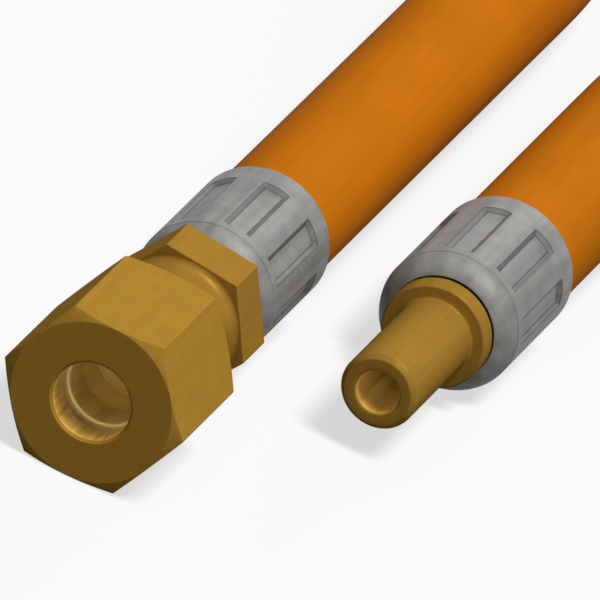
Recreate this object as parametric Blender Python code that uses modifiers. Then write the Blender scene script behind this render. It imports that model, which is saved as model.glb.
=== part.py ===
"""Flexible gas hose: a union nut with its cutting ring on one end, a plain 8 mm pipe
spigot on the other, both crimped to a rubber hose. Both ends lie side by side on the
floor and the hose makes one loop behind them.

Metres, +Z up. +Y runs from the mouth of the union nut towards the hose, and the
origin is on the floor, in the middle under the metal fittings.
"""

import math

import bmesh
import bpy
import numpy as np
from mathutils import Matrix, Vector

MM = 0.001

# Fits
GAP = 0.3 * MM                      # between pieces that touch
SEGMENTS = 36                       # facets round a turned piece
CUTTER_REACH = 1.0 * MM             # how far a cutter runs past what it cuts
SHARP_ANGLE = math.radians(35.0)    # faces that meet at more than this keep their edge

# Where the two ends lie
END_SPACING = 20.1 * MM             # between the two axes
END_OFFSET = 29.2 * MM              # the spigot's mouth behind the nut's mouth

# Union nut, M14 x 1.5 for 8 mm pipe
NUT_ACROSS_FLATS = 17.0 * MM
NUT_LENGTH = 15.3 * MM
NUT_FLAT_ANGLE = 90.0               # degrees from +X towards +Z
HEX_CHAMFER_ANGLE = math.radians(30.0)
PIPE_RADIUS = 4.0 * MM
NUT_BORE_CLEARANCE = 0.05 * MM
NUT_BORE_CHAMFER = 0.3 * MM
NUT_WALL_AT_MOUTH = 2.95 * MM       # length of the nut's own bore
THREAD_RADIUS = 6.45 * MM           # mean radius of the body's thread
THREAD_LEAD = 0.4 * MM              # lead-in chamfer at both threads

# Cutting ring
RING_SEAT = 1.45 * MM               # its front face, behind the start of the nut's cone
RING_CONE_CLEARANCE = 0.5 * MM      # radial, under the nut's cone
RING_SIDE_CLEARANCE = 0.75 * MM     # radial, under the nut's thread
RING_SHOULDER_LENGTH = 0.5 * MM
RING_NOSE_LENGTH = 2.0 * MM         # the part that enters the body's cone
RING_BORE_CHAMFER = 0.2 * MM

# Connector body
CONE_RISE = 1.0 * MM                # the cone's mouth, beyond the pipe's radius
CONE_HALF_ANGLE = math.radians(12.0)
SOCKET_DEPTH = 5.55 * MM            # nose to the stop for the pipe
SOCKET_STOP_CHAMFER = 0.34 * MM
THREAD_LENGTH = 8.8 * MM
NECK_LENGTH = 7.3 * MM
NECK_UNDERCUT = 0.4 * MM            # neck below the mean thread radius
NECK_FILLET = 0.9 * MM
FILLET_MARGIN = 0.05 * MM           # fillet's foot inside the hexagon's flats
BODY_HEX_ACROSS_FLATS = 14.0 * MM
BODY_HEX_LENGTH = 5.7 * MM
BODY_HEX_ANGLE = 83.6               # degrees from +X towards +Z
HEX_ROOT_DEPTH = 1.5 * MM           # how deep the turned body sits in the hex

# Pipe spigot
SPIGOT_LENGTH = 15.32 * MM          # mouth to collar
SPIGOT_CHAMFER = 0.5 * MM
SPIGOT_FILLET = 0.31 * MM
BORE_CHAMFER = 0.18 * MM
COLLAR_LENGTH = 2.02 * MM
COLLAR_CHAMFER = 0.22 * MM

# Crimped ferrules, one on each end
FERRULE_RADIUS = 7.355 * MM
FERRULE_LENGTH = 17.66 * MM
FERRULE_NOSE_LENGTH = 2.26 * MM
FERRULE_NOSE_ROUNDING = 3.2 * MM
FERRULE_LIP = 1.4 * MM              # wall at the nose, locked in the insert's groove
FERRULE_WALL = 1.155 * MM
COLLAR_RADIUS = 5.52 * MM           # also the hole in the ferrule's nose
POCKETS = 8
POCKET_FRONT_MARGIN = 3.3 * MM      # behind the ferrule's nose
POCKET_REAR_MARGIN = 3.06 * MM      # before the ferrule's rear edge
POCKET_DEPTH = 0.455 * MM
POCKET_FLOOR_HALF_WIDTH = 1.02 * MM
POCKET_EDGE_ANGLE = math.radians(11.3)
NUT_END_POCKET_ANGLE = 84.2         # degrees from +X towards +Z
SPIGOT_END_POCKET_ANGLE = 58.55

# Barbed tails inside the hose
GAS_BORE_RADIUS = 2.25 * MM
SHOULDER_CLEARANCE = 0.4 * MM       # radial, under the ferrule
SHOULDER_LENGTH = 1.2 * MM
TAIL_INSET = 0.96 * MM              # tail ends this far inside the ferrule
TAIL_TIP_WALL = 0.55 * MM
TAIL_WALL = 0.8 * MM                # between two barbs
TAIL_ROOT_LENGTH = 1.0 * MM         # plain, behind the last barb
BARB_HEIGHT = 0.4 * MM
BARB_DROP = 0.3 * MM
BARBS = 4

# Hose
HOSE_RADIUS = 6.65 * MM
HOSE_WALL = 3.5 * MM
HOSE_STEP = 10.0 * MM               # between the points of the tube
HOSE_BEVEL_RESOLUTION = 4

# Route of the loop, chosen by hand: X, Y and the height of the hose's underside over
# the floor, in millimetres. The hose runs straight from each ferrule up to the loop.
NUT_RUN_END_Y = 82.0 * MM
SPIGOT_RUN_END_Y = 66.0 * MM
RUN_POINTS = 5
LOOP_MM = (
    (-9.8, 100.9, 1.68),
    (-15.8, 118.7, 1.26),
    (-26.4, 134.3, 0.74),
    (-37.2, 149.8, 0.28),
    (-43.7, 167.5, 0.04),
    (-44.0, 186.3, 0.01),
    (-38.2, 204.2, 0.01),
    (-26.8, 219.2, 0.01),
    (-11.2, 229.7, 0.01),
    (7.0, 234.6, 0.01),
    (25.7, 233.2, 0.01),
    (43.0, 225.9, 0.01),
    (57.0, 213.3, 0.01),
    (66.1, 196.8, 0.01),
    (69.4, 178.3, 0.01),
    (66.4, 159.7, 0.01),
    (57.6, 143.1, 0.02),
    (44.1, 129.8, 0.06),
    (29.6, 117.7, 0.22),
    (18.2, 102.7, 0.44),
    (12.3, 84.9, 0.62),
)

# Places along the axes, worked out from the sizes above
NUT_HALF_WIDTH = NUT_ACROSS_FLATS / math.sqrt(3.0)
NUT_THREAD_RADIUS = THREAD_RADIUS + GAP
NUT_BORE_RADIUS = PIPE_RADIUS + NUT_BORE_CLEARANCE
RING_MOUTH_Y = NUT_WALL_AT_MOUTH + RING_SEAT
RING_FRONT_RADIUS = NUT_BORE_RADIUS + RING_SEAT - RING_CONE_CLEARANCE
RING_SHOULDER_RADIUS = NUT_THREAD_RADIUS - RING_SIDE_CLEARANCE
RING_SLOPE_END_Y = RING_MOUTH_Y + RING_SHOULDER_RADIUS - RING_FRONT_RADIUS
RING_SHOULDER_END_Y = RING_SLOPE_END_Y + RING_SHOULDER_LENGTH
BODY_NOSE_Y = RING_SHOULDER_END_Y + GAP
CONE_MOUTH_RADIUS = PIPE_RADIUS + CONE_RISE
SOCKET_BOTTOM_Y = BODY_NOSE_Y + SOCKET_DEPTH
THREAD_END_Y = BODY_NOSE_Y + THREAD_LENGTH
NECK_RADIUS = THREAD_RADIUS - NECK_UNDERCUT
BODY_HEX_Y = THREAD_END_Y + NECK_LENGTH
BODY_FERRULE_Y = BODY_HEX_Y + BODY_HEX_LENGTH + GAP
SPIGOT_FERRULE_Y = SPIGOT_LENGTH + COLLAR_LENGTH + GAP
NUT_AXIS_X = (NUT_HALF_WIDTH - END_SPACING - FERRULE_RADIUS) / 2.0
SPIGOT_AXIS_X = NUT_AXIS_X + END_SPACING
NUT_AXIS_Z = NUT_ACROSS_FLATS / 2.0
SPIGOT_AXIS_Z = FERRULE_RADIUS
NUT_MOUTH_Y = -(END_OFFSET + SPIGOT_FERRULE_Y + FERRULE_LENGTH) / 2.0
SPIGOT_MOUTH_Y = NUT_MOUTH_Y + END_OFFSET

# Places behind a ferrule's nose
SHOULDER_FRONT = FERRULE_LIP + GAP
SHOULDER_REAR = SHOULDER_FRONT + SHOULDER_LENGTH
HOSE_START = SHOULDER_REAR + GAP
TAIL_END = FERRULE_LENGTH - TAIL_INSET
BARB_PITCH = (TAIL_END - SHOULDER_REAR - TAIL_ROOT_LENGTH) / BARBS
GROOVE_RADIUS = COLLAR_RADIUS - GAP
FERRULE_BORE_RADIUS = FERRULE_RADIUS - FERRULE_WALL
SHOULDER_RADIUS = FERRULE_BORE_RADIUS - SHOULDER_CLEARANCE
TAIL_TIP_RADIUS = GAS_BORE_RADIUS + TAIL_TIP_WALL
BARB_ROOT_RADIUS = GAS_BORE_RADIUS + TAIL_WALL
BARB_RADIUS = BARB_ROOT_RADIUS + BARB_HEIGHT
POCKET_LENGTH = FERRULE_LENGTH - POCKET_FRONT_MARGIN - POCKET_REAR_MARGIN
POCKET_FLOOR_RADIUS = FERRULE_RADIUS - POCKET_DEPTH


def clear_scene():
    """Remove every object that the file starts with."""
    for item in list(bpy.data.objects):
        bpy.data.objects.remove(item, do_unlink=True)


def new_collection(name):
    """Add a collection to the scene."""
    collection = bpy.data.collections.new(name)
    bpy.context.scene.collection.children.link(collection)
    return collection


def new_material(name, color, metallic, roughness):
    """A Principled material with one colour."""
    material = bpy.data.materials.new(name)
    material.use_nodes = True
    shader = material.node_tree.nodes["Principled BSDF"]
    shader.inputs["Base Color"].default_value = (*color, 1.0)
    shader.inputs["Metallic"].default_value = metallic
    shader.inputs["Roughness"].default_value = roughness
    material.diffuse_color = (*color, 1.0)
    return material


def new_object(name, mesh, collection, material=None):
    """An object for a mesh, with its material."""
    item = bpy.data.objects.new(name, mesh)
    collection.objects.link(item)
    if material is not None:
        mesh.materials.append(material)
    return item


def axis_empty(name, collection, x, y, z):
    """An empty whose local +Z points along the fitting's axis, from mouth to hose."""
    empty = bpy.data.objects.new(name, None)
    empty.location = (x, y, z)
    empty.rotation_euler = (-math.pi / 2.0, 0.0, 0.0)
    collection.objects.link(empty)
    return empty


def as_cutter(item):
    """Mark an object as a cutter, so that it isn't part of the model."""
    item.hide_render = True
    item.display_type = "WIRE"
    return item


def finish_mesh(item):
    """Give the object its modified shape, smooth with sharp edges at its corners."""
    evaluated = item.evaluated_get(bpy.context.evaluated_depsgraph_get())
    mesh = bpy.data.meshes.new_from_object(evaluated)
    mesh.name = item.name
    item.modifiers.clear()
    item.data = mesh
    mesh.shade_smooth()
    mesh.set_sharp_from_angle(angle=SHARP_ANGLE)


def arc_between(start, end, radius, turn, steps):
    """Points of an arc between two profile points, both ends left out.

    turn is +1 or -1 and chooses the side on which the arc's centre lies.
    """
    first = Vector(start)
    last = Vector(end)
    half = (last - first) / 2.0
    across = Vector((-half.y, half.x)).normalized() * turn
    centre = first + half + across * math.sqrt(radius**2 - half.length_squared)
    from_angle = math.atan2(first.y - centre.y, first.x - centre.x)
    to_angle = math.atan2(last.y - centre.y, last.x - centre.x)
    sweep = math.remainder(to_angle - from_angle, math.tau)
    points = []
    for step in range(1, steps):
        angle = from_angle + sweep * step / steps
        points.append((centre.x + radius * math.cos(angle), centre.y + radius * math.sin(angle)))
    return points


def turned(name, profile, collection, parent, closed, material=None):
    """A turned shape about the parent's axis.

    profile is a list of (radius, distance behind the mouth), down the outer side from
    the hose to the mouth, and for a closed one back along the bore.
    """
    mesh = bpy.data.meshes.new(name)
    edges = [(index, index + 1) for index in range(len(profile) - 1)]
    if closed:
        edges.append((len(profile) - 1, 0))
    mesh.from_pydata([(radius, 0.0, along) for radius, along in profile], edges, [])
    item = new_object(name, mesh, collection, material)
    item.parent = parent
    screw = item.modifiers.new("turn", "SCREW")
    screw.axis = "Z"
    screw.steps = SEGMENTS
    screw.render_steps = SEGMENTS
    screw.use_merge_vertices = True
    screw.merge_threshold = 0.001 * MM
    screw.use_smooth_shade = False
    return item


def hexagon(name, across_flats, start, end, angle, collection, parent, material=None):
    """A hexagonal bar along the parent's axis, with one flat facing the given angle."""
    mesh = bpy.data.meshes.new(name)
    shape = bmesh.new()
    radius = across_flats / math.sqrt(3.0)
    bmesh.ops.create_cone(
        shape, cap_ends=True, segments=6, radius1=radius, radius2=radius, depth=end - start
    )
    bmesh.ops.translate(shape, verts=shape.verts, vec=(0.0, 0.0, (start + end) / 2.0))
    shape.to_mesh(mesh)
    shape.free()
    item = new_object(name, mesh, collection, material)
    item.parent = parent
    item.rotation_euler = (0.0, 0.0, -math.radians(angle))
    return item


def cylinder(name, radius, start, end, collection, parent):
    """A round bar along the parent's axis."""
    mesh = bpy.data.meshes.new(name)
    shape = bmesh.new()
    bmesh.ops.create_cone(
        shape, cap_ends=True, segments=SEGMENTS, radius1=radius, radius2=radius, depth=end - start
    )
    bmesh.ops.translate(shape, verts=shape.verts, vec=(0.0, 0.0, (start + end) / 2.0))
    shape.to_mesh(mesh)
    shape.free()
    item = new_object(name, mesh, collection)
    item.parent = parent
    return item


def boolean(item, operation, other):
    """Add an exact Boolean with another object."""
    modifier = item.modifiers.new(operation.lower(), "BOOLEAN")
    modifier.operation = operation
    modifier.solver = "EXACT"
    modifier.object = other


def union_nut(parts, cutters, parent, brass):
    """Union nut: a chamfered hexagon with a stepped bore."""
    face_radius = NUT_ACROSS_FLATS / 2.0
    rim_radius = NUT_HALF_WIDTH + CUTTER_REACH
    rim_drop = (rim_radius - face_radius) * math.tan(HEX_CHAMFER_ANGLE)
    cone_end = NUT_WALL_AT_MOUTH + NUT_THREAD_RADIUS - NUT_BORE_RADIUS
    profile = [
        (face_radius, NUT_LENGTH),
        (rim_radius, NUT_LENGTH - rim_drop),
        (rim_radius, rim_drop),
        (face_radius, 0.0),
        (NUT_BORE_RADIUS + NUT_BORE_CHAMFER, 0.0),
        (NUT_BORE_RADIUS, NUT_BORE_CHAMFER),
        (NUT_BORE_RADIUS, NUT_WALL_AT_MOUTH),
        (NUT_THREAD_RADIUS, cone_end),
        (NUT_THREAD_RADIUS, NUT_LENGTH - THREAD_LEAD),
        (NUT_THREAD_RADIUS + THREAD_LEAD, NUT_LENGTH),
    ]
    nut = turned("union_nut", profile, parts, parent, True, brass)
    bar = hexagon(
        "nut_hexagon", NUT_ACROSS_FLATS, -CUTTER_REACH, NUT_LENGTH + CUTTER_REACH,
        NUT_FLAT_ANGLE, cutters, parent,
    )
    boolean(nut, "INTERSECT", as_cutter(bar))
    return nut


def cutting_ring(parts, parent, brass):
    """Cutting ring: a shoulder under the nut's cone and a nose in the body's cone."""
    nose_end = BODY_NOSE_Y + RING_NOSE_LENGTH
    clearance = GAP / math.cos(CONE_HALF_ANGLE)
    nose_root_radius = cone_radius(RING_SHOULDER_END_Y) - clearance
    nose_tip_radius = cone_radius(nose_end) - clearance
    profile = [
        (nose_tip_radius, nose_end),
        (nose_root_radius, RING_SHOULDER_END_Y),
        (RING_SHOULDER_RADIUS, RING_SHOULDER_END_Y),
        (RING_SHOULDER_RADIUS, RING_SLOPE_END_Y),
        (RING_FRONT_RADIUS, RING_MOUTH_Y),
        (PIPE_RADIUS + RING_BORE_CHAMFER, RING_MOUTH_Y),
        (PIPE_RADIUS, RING_MOUTH_Y + RING_BORE_CHAMFER),
        (PIPE_RADIUS, nose_end),
    ]
    return turned("cutting_ring", profile, parts, parent, True, brass)


def cone_radius(along):
    """Radius of the body's cone at a distance behind the nut's mouth."""
    return CONE_MOUTH_RADIUS - (along - BODY_NOSE_Y) * math.tan(CONE_HALF_ANGLE)


def tail_profile(nose):
    """Outer side of the insert from its tip to the groove, for a ferrule at nose."""
    points = []
    low_radius = TAIL_TIP_RADIUS
    for barb in range(BARBS):
        tip = nose + TAIL_END - barb * BARB_PITCH
        points.append((low_radius, tip))
        points.append((BARB_RADIUS, tip - BARB_PITCH + BARB_DROP))
        low_radius = BARB_ROOT_RADIUS
    points.append((BARB_ROOT_RADIUS, nose + TAIL_END - BARBS * BARB_PITCH))
    points.append((BARB_ROOT_RADIUS, nose + SHOULDER_REAR))
    points.append((SHOULDER_RADIUS, nose + SHOULDER_REAR))
    points.append((SHOULDER_RADIUS, nose + SHOULDER_FRONT))
    points.append((GROOVE_RADIUS, nose + SHOULDER_FRONT))
    return points


def connector_body(parts, cutters, parent, brass):
    """Connector body: threaded nose, neck, hexagon and barbed tail."""
    hex_end = BODY_HEX_Y + BODY_HEX_LENGTH
    body = hexagon(
        "connector_body", BODY_HEX_ACROSS_FLATS, BODY_HEX_Y, hex_end,
        BODY_HEX_ANGLE, parts, parent, brass,
    )
    fillet = min(NECK_FILLET, BODY_HEX_ACROSS_FLATS / 2.0 - NECK_RADIUS - FILLET_MARGIN)
    root_radius = NECK_RADIUS + fillet
    fillet_start = BODY_HEX_Y - fillet
    profile = [(0.0, BODY_FERRULE_Y + TAIL_END)]
    profile += tail_profile(BODY_FERRULE_Y)
    profile += [
        (GROOVE_RADIUS, BODY_HEX_Y + HEX_ROOT_DEPTH),
        (root_radius, BODY_HEX_Y + HEX_ROOT_DEPTH),
        (root_radius, BODY_HEX_Y),
    ]
    profile += arc_between((root_radius, BODY_HEX_Y), (NECK_RADIUS, fillet_start), fillet, -1, 4)
    profile += [
        (NECK_RADIUS, fillet_start),
        (NECK_RADIUS, THREAD_END_Y),
        (THREAD_RADIUS, THREAD_END_Y),
        (THREAD_RADIUS, BODY_NOSE_Y + THREAD_LEAD),
        (THREAD_RADIUS - THREAD_LEAD, BODY_NOSE_Y),
        (0.0, BODY_NOSE_Y),
    ]
    spine = turned("body_turned", profile, cutters, parent, False)
    boolean(body, "UNION", as_cutter(spine))

    mouth = BODY_NOSE_Y - CUTTER_REACH
    cone_end = BODY_NOSE_Y + CONE_RISE / math.tan(CONE_HALF_ANGLE)
    passage_end = BODY_FERRULE_Y + TAIL_END + CUTTER_REACH
    stop_radius = PIPE_RADIUS - SOCKET_STOP_CHAMFER
    stop_end = SOCKET_BOTTOM_Y + SOCKET_STOP_CHAMFER
    passage = [
        (0.0, passage_end),
        (GAS_BORE_RADIUS, passage_end),
        (GAS_BORE_RADIUS, stop_end),
        (stop_radius, stop_end),
        (PIPE_RADIUS, SOCKET_BOTTOM_Y),
        (PIPE_RADIUS, cone_end),
        (cone_radius(mouth), mouth),
        (0.0, mouth),
    ]
    bore = turned("body_passage", passage, cutters, parent, False)
    boolean(body, "DIFFERENCE", as_cutter(bore))
    return body


def pipe_spigot(parts, parent, brass):
    """Pipe spigot: an 8 mm stub, a collar and a barbed tail, turned in one piece."""
    fillet_radius = PIPE_RADIUS + SPIGOT_FILLET
    fillet_start = SPIGOT_LENGTH - SPIGOT_FILLET
    collar_end = SPIGOT_LENGTH + COLLAR_LENGTH
    profile = tail_profile(SPIGOT_FERRULE_Y)
    profile += [
        (GROOVE_RADIUS, collar_end),
        (COLLAR_RADIUS, collar_end),
        (COLLAR_RADIUS, SPIGOT_LENGTH + COLLAR_CHAMFER),
        (COLLAR_RADIUS - COLLAR_CHAMFER, SPIGOT_LENGTH),
        (fillet_radius, SPIGOT_LENGTH),
    ]
    profile += arc_between(
        (fillet_radius, SPIGOT_LENGTH), (PIPE_RADIUS, fillet_start), SPIGOT_FILLET, -1, 3
    )
    profile += [
        (PIPE_RADIUS, fillet_start),
        (PIPE_RADIUS, SPIGOT_CHAMFER),
        (PIPE_RADIUS - SPIGOT_CHAMFER, 0.0),
        (GAS_BORE_RADIUS + BORE_CHAMFER, 0.0),
        (GAS_BORE_RADIUS, BORE_CHAMFER),
        (GAS_BORE_RADIUS, SPIGOT_FERRULE_Y + TAIL_END),
    ]
    return turned("pipe_spigot", profile, parts, parent, True, brass)


def pocket_cutter(name, nose, angle, cutters, parent):
    """The eight crimp pockets of one ferrule, as one cutter."""
    edge_height = FERRULE_RADIUS * math.cos(POCKET_EDGE_ANGLE)
    edge_half_width = FERRULE_RADIUS * math.sin(POCKET_EDGE_ANGLE)
    flare = (edge_half_width - POCKET_FLOOR_HALF_WIDTH) / (edge_height - POCKET_FLOOR_RADIUS)
    top_radius = FERRULE_RADIUS + CUTTER_REACH
    rise = top_radius - POCKET_FLOOR_RADIUS
    top_half_width = POCKET_FLOOR_HALF_WIDTH + flare * rise
    floor_half_length = POCKET_LENGTH / 2.0 - (FERRULE_RADIUS - POCKET_FLOOR_RADIUS)
    top_half_length = floor_half_length + rise
    middle = nose + POCKET_FRONT_MARGIN + POCKET_LENGTH / 2.0
    shape = bmesh.new()
    for pocket in range(POCKETS):
        block = bmesh.ops.create_cube(shape, size=2.0)["verts"]
        for vert in block:
            outer = vert.co.x > 0.0
            half_width = top_half_width if outer else POCKET_FLOOR_HALF_WIDTH
            half_length = top_half_length if outer else floor_half_length
            radius = top_radius if outer else POCKET_FLOOR_RADIUS
            vert.co = Vector((radius, vert.co.y * half_width, middle + vert.co.z * half_length))
        turn = -math.radians(angle) + pocket * math.tau / POCKETS
        bmesh.ops.rotate(shape, verts=block, matrix=Matrix.Rotation(turn, 3, "Z"))
    mesh = bpy.data.meshes.new(name)
    shape.to_mesh(mesh)
    shape.free()
    item = new_object(name, mesh, cutters)
    item.parent = parent
    return as_cutter(item)


def ferrule(name, nose, pocket_angle, parts, cutters, parent, steel):
    """A ferrule: rounded nose, long skirt over the hose, eight crimp pockets."""
    rear = nose + FERRULE_LENGTH
    nose_edge = (COLLAR_RADIUS, nose)
    skirt_edge = (FERRULE_RADIUS, nose + FERRULE_NOSE_LENGTH)
    profile = [(FERRULE_RADIUS, rear), skirt_edge]
    profile += arc_between(skirt_edge, nose_edge, FERRULE_NOSE_ROUNDING, -1, 5)
    profile += [
        nose_edge,
        (COLLAR_RADIUS, nose + FERRULE_LIP),
        (FERRULE_BORE_RADIUS, nose + FERRULE_LIP),
        (FERRULE_BORE_RADIUS, rear),
    ]
    item = turned(name, profile, parts, parent, True, steel)
    pockets = pocket_cutter(name + "_pockets", nose, pocket_angle, cutters, parent)
    boolean(item, "DIFFERENCE", pockets)
    return item


def smooth_curve(points, step):
    """Evenly spaced points of the cubic spline through the given points."""
    knots = np.array(points)
    spans = np.linalg.norm(np.diff(knots, axis=0), axis=1)
    along = np.concatenate(([0.0], np.cumsum(spans)))
    count = len(knots)
    matrix = np.eye(count)
    target = np.zeros_like(knots)
    for index in range(1, count - 1):
        before = spans[index - 1]
        after = spans[index]
        matrix[index, index - 1:index + 2] = (before, 2.0 * (before + after), after)
        slope_after = (knots[index + 1] - knots[index]) / after
        slope_before = (knots[index] - knots[index - 1]) / before
        target[index] = 6.0 * (slope_after - slope_before)
    bends = np.linalg.solve(matrix, target)
    samples = np.linspace(0.0, along[-1], round(along[-1] / step) + 1)
    result = []
    for sample in samples:
        index = min(int(np.searchsorted(along, sample, side="right")) - 1, count - 2)
        span = spans[index]
        late = (sample - along[index]) / span
        early = 1.0 - late
        point = early * knots[index] + late * knots[index + 1]
        point = point + span**2 / 6.0 * (
            (early**3 - early) * bends[index] + (late**3 - late) * bends[index + 1]
        )
        result.append(tuple(float(value) for value in point))
    return result


def straight_run(axis_x, axis_z, mouth_y, nose, run_end_y):
    """Points along one straight end of the hose, from inside its ferrule to the loop."""
    rear_y = mouth_y + nose + FERRULE_LENGTH
    places = [mouth_y + nose + HOSE_START]
    for step in range(RUN_POINTS):
        places.append(rear_y + (run_end_y - rear_y) * step / (RUN_POINTS - 1))
    return [(axis_x, y, axis_z) for y in places]


def hose_line():
    """The hose's middle line, from inside one ferrule to inside the other."""
    nut_run = straight_run(NUT_AXIS_X, NUT_AXIS_Z, NUT_MOUTH_Y, BODY_FERRULE_Y, NUT_RUN_END_Y)
    spigot_run = straight_run(
        SPIGOT_AXIS_X, SPIGOT_AXIS_Z, SPIGOT_MOUTH_Y, SPIGOT_FERRULE_Y, SPIGOT_RUN_END_Y
    )
    loop = [(x * MM, y * MM, HOSE_RADIUS + lift * MM) for x, y, lift in LOOP_MM]
    return smooth_curve(nut_run + loop + spigot_run[::-1], HOSE_STEP)


def hose(parts, cutters, nut_end, spigot_end, rubber):
    """The rubber hose: a thick tube, squeezed inside each ferrule."""
    line = hose_line()
    curve = bpy.data.curves.new("hose_line", "CURVE")
    curve.dimensions = "3D"
    spline = curve.splines.new("POLY")
    spline.points.add(len(line) - 1)
    for point, place in zip(spline.points, line):
        point.co = (*place, 1.0)
    curve.bevel_depth = HOSE_RADIUS
    curve.bevel_resolution = HOSE_BEVEL_RESOLUTION
    wire = bpy.data.objects.new("hose_line", curve)
    parts.objects.link(wire)
    bpy.context.view_layer.update()
    evaluated = wire.evaluated_get(bpy.context.evaluated_depsgraph_get())
    mesh = bpy.data.meshes.new_from_object(evaluated)
    mesh.name = "hose"
    bpy.data.objects.remove(wire, do_unlink=True)
    shape = bmesh.new()
    shape.from_mesh(mesh)
    bmesh.ops.remove_doubles(shape, verts=shape.verts, dist=0.001 * MM)
    shape.to_mesh(mesh)
    shape.free()
    item = new_object("hose", mesh, parts, rubber)
    wall = item.modifiers.new("wall", "SOLIDIFY")
    wall.thickness = HOSE_WALL
    wall.offset = -1.0
    wall.use_even_offset = True
    end_cutters = bpy.data.collections.new("hose_end_cutters")
    cutters.children.link(end_cutters)
    for end, nose in ((nut_end, BODY_FERRULE_Y), (spigot_end, SPIGOT_FERRULE_Y)):
        add_end_cutters(end, nose, end_cutters)
    cut = item.modifiers.new("ends", "BOOLEAN")
    cut.operation = "DIFFERENCE"
    cut.solver = "EXACT"
    cut.operand_type = "COLLECTION"
    cut.collection = end_cutters
    return item


def add_end_cutters(end, nose, end_cutters):
    """What narrows the hose in its ferrule, and what widens its bore over the tail."""
    start = nose + HOSE_START - CUTTER_REACH
    rear = nose + FERRULE_LENGTH + GAP
    grip_radius = FERRULE_BORE_RADIUS - GAP
    outside_radius = HOSE_RADIUS + CUTTER_REACH
    sleeve = [
        (outside_radius, rear),
        (outside_radius, start),
        (grip_radius, start),
        (grip_radius, rear),
    ]
    as_cutter(turned(end.name + "_squeeze", sleeve, end_cutters, end, True))
    tail_end = nose + TAIL_END + GAP
    as_cutter(
        cylinder(end.name + "_tail_room", BARB_RADIUS + GAP, start, tail_end, end_cutters, end)
    )


def main():
    clear_scene()
    parts = new_collection("flexible_gas_hose")
    cutters = new_collection("cutters")
    brass = new_material("brass", (0.46, 0.27, 0.05), 1.0, 0.35)
    steel = new_material("zinc_plated_steel", (0.32, 0.31, 0.30), 1.0, 0.45)
    rubber = new_material("orange_rubber", (0.62, 0.18, 0.01), 0.0, 0.55)
    nut_end = axis_empty("nut_end", parts, NUT_AXIS_X, NUT_MOUTH_Y, NUT_AXIS_Z)
    spigot_end = axis_empty("spigot_end", parts, SPIGOT_AXIS_X, SPIGOT_MOUTH_Y, SPIGOT_AXIS_Z)

    union_nut(parts, cutters, nut_end, brass)
    cutting_ring(parts, nut_end, brass)
    connector_body(parts, cutters, nut_end, brass)
    pipe_spigot(parts, spigot_end, brass)
    ferrule(
        "ferrule_nut_end", BODY_FERRULE_Y, NUT_END_POCKET_ANGLE, parts, cutters, nut_end, steel
    )
    ferrule(
        "ferrule_spigot_end", SPIGOT_FERRULE_Y, SPIGOT_END_POCKET_ANGLE,
        parts, cutters, spigot_end, steel,
    )
    hose(parts, cutters, nut_end, spigot_end, rubber)

    bpy.context.view_layer.update()
    for item in parts.objects:
        if item.type == "MESH":
            finish_mesh(item)


main()
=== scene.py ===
"""Looks of the flexible gas hose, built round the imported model.

Metres, +Z up. Both fittings lie along +Y with the mouth of the union nut in front, and
the hose makes one loop behind them, outside the camera's view. A fitting's profile is a
list of corners (radius, distance behind its mouth, rounding), from the hose to the
mouth along the outside, and back along the bore.
"""

import math

import bpy
import numpy as np
from mathutils import Matrix, Vector

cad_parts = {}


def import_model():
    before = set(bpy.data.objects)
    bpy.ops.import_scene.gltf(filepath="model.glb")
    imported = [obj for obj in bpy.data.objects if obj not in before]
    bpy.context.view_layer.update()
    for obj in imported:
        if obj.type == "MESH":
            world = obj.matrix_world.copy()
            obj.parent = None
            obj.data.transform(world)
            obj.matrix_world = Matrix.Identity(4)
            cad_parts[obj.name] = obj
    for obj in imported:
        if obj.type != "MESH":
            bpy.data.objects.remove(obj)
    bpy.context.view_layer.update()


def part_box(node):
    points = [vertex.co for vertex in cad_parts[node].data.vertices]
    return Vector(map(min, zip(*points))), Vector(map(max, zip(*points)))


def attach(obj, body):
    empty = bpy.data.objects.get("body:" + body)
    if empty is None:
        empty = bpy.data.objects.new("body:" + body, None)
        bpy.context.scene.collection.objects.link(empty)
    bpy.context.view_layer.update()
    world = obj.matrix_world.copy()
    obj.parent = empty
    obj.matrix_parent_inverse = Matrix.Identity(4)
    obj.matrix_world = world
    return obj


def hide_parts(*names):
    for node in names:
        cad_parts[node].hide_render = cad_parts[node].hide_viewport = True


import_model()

MM = 0.001

# The frame: where the pieces lie
NUT_LOW, NUT_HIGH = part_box("union_nut")
RING_LOW, RING_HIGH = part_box("cutting_ring")
BODY_LOW, BODY_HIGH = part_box("connector_body")
SPIGOT_LOW, SPIGOT_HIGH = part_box("pipe_spigot")
NUT_FERRULE_LOW, NUT_FERRULE_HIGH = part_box("ferrule_nut_end")
SPIGOT_FERRULE_LOW, SPIGOT_FERRULE_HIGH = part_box("ferrule_spigot_end")
NUT_MIDDLE = (NUT_LOW + NUT_HIGH) / 2.0
SPIGOT_MIDDLE = (SPIGOT_FERRULE_LOW + SPIGOT_FERRULE_HIGH) / 2.0
NUT_END = Vector((NUT_MIDDLE.x, NUT_LOW.y, NUT_MIDDLE.z))
SPIGOT_END = Vector((SPIGOT_MIDDLE.x, SPIGOT_LOW.y, SPIGOT_MIDDLE.z))

# Rounded edges and round pieces
EDGE_ROUNDING = 0.1 * MM
BORE_EDGE_ROUNDING = 0.05 * MM
FINE_ROUNDING = 0.04 * MM
ARC_ROOM = 0.45                     # share of the shorter side that a corner's arc may take
ARC_STEPS = 3
FINE_ARC_STEPS = 4
TURNED_SIDES = 192
HEX_SIDES = 6
SAME_PLACE = 1e-9                  # metres between values that count as the same

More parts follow.
